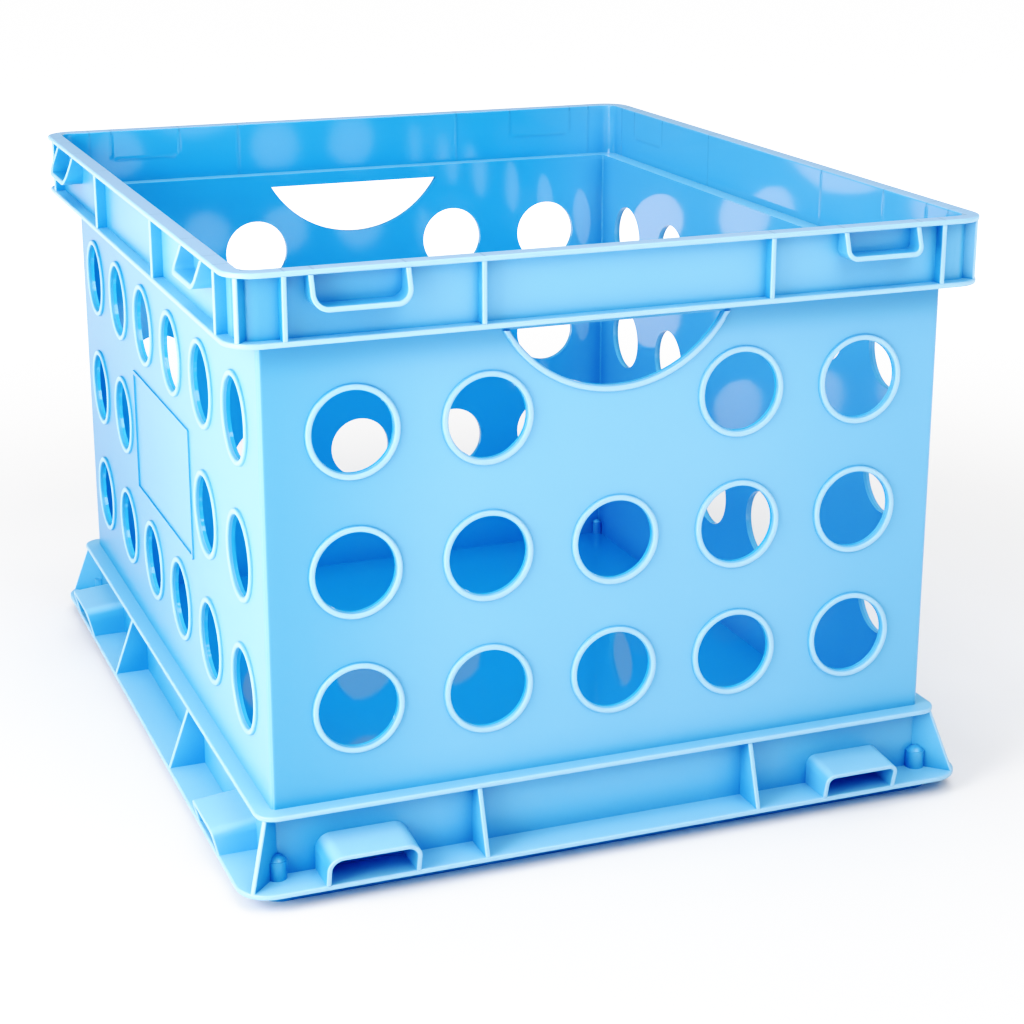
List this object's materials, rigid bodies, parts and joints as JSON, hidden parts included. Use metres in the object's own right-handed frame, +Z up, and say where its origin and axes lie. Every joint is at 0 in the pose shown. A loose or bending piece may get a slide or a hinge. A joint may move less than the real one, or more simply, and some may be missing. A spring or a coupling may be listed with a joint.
{
  "type": "stacking file crate",
  "caption": "Rigid open-top stacking crate in sky blue plastic, with round vent holes, end hand holes, a ribbed rim and a ribbed stacking base.",
  "frame": {"origin": "on the floor, under the middle of the crate", "axes": "+Z up, +Y from the front end wall to the back end wall along the crate's length, +X to the right seen from the front"},
  "size_m": [0.374, 0.437, 0.288],
  "materials": {
    "sky_blue_polypropylene": "satin outside and glossy inside"
  },
  "bodies": {
    "root": {"back_base_flange": "sky_blue_polypropylene", "back_hole_collars": "sky_blue_polypropylene", "back_narrow_base_loop": "sky_blue_polypropylene", "back_narrow_rim_pocket": "sky_blue_polypropylene", "back_plinth": "sky_blue_polypropylene", "back_rim_band": "sky_blue_polypropylene", "back_rim_ledge": "sky_blue_polypropylene", "back_rim_ribs": "sky_blue_polypropylene", "back_skirt_flange": "sky_blue_polypropylene", "back_top_flange": "sky_blue_polypropylene", "back_wall": "sky_blue_polypropylene", "back_wide_base_loop": "sky_blue_polypropylene", "back_wide_rim_pocket": "sky_blue_polypropylene", "corner_posts": "sky_blue_polypropylene", "floor_panel": "sky_blue_polypropylene", "front_base_flange": "sky_blue_polypropylene", "front_hole_collars": "sky_blue_polypropylene", "front_narrow_base_loop": "sky_blue_polypropylene", "front_narrow_rim_pocket": "sky_blue_polypropylene", "front_plinth": "sky_blue_polypropylene", "front_rim_band": "sky_blue_polypropylene", "front_rim_ledge": "sky_blue_polypropylene", "front_rim_ribs": "sky_blue_polypropylene", "front_skirt_flange": "sky_blue_polypropylene", "front_top_flange": "sky_blue_polypropylene", "front_wall": "sky_blue_polypropylene", "front_wide_base_loop": "sky_blue_polypropylene", "front_wide_rim_pocket": "sky_blue_polypropylene", "inner_corner_posts": "sky_blue_polypropylene", "label_frames": "sky_blue_polypropylene", "left_base_flange": "sky_blue_polypropylene", "left_hole_collars": "sky_blue_polypropylene", "left_narrow_base_loop": "sky_blue_polypropylene", "left_narrow_rim_pocket": "sky_blue_polypropylene", "left_plinth": "sky_blue_polypropylene", "left_rim_band": "sky_blue_polypropylene", "left_rim_ledge": "sky_blue_polypropylene", "left_rim_ribs": "sky_blue_polypropylene", "left_skirt_flange": "sky_blue_polypropylene", "left_top_flange": "sky_blue_polypropylene", "left_wall": "sky_blue_polypropylene", "left_wide_base_loop": "sky_blue_polypropylene", "left_wide_rim_pocket": "sky_blue_polypropylene", "right_base_flange": "sky_blue_polypropylene", "right_hole_collars": "sky_blue_polypropylene", "right_narrow_base_loop": "sky_blue_polypropylene", "right_narrow_rim_pocket": "sky_blue_polypropylene", "right_plinth": "sky_blue_polypropylene", "right_rim_band": "sky_blue_polypropylene", "right_rim_ledge": "sky_blue_polypropylene", "right_rim_ribs": "sky_blue_polypropylene", "right_skirt_flange": "sky_blue_polypropylene", "right_top_flange": "sky_blue_polypropylene", "right_wall": "sky_blue_polypropylene", "right_wide_base_loop": "sky_blue_polypropylene", "right_wide_rim_pocket": "sky_blue_polypropylene", "rim_corner_ribs": "sky_blue_polypropylene", "skirt_corner_ribs": "sky_blue_polypropylene", "skirt_ribs": "sky_blue_polypropylene"}
  },
  "joints": []
}
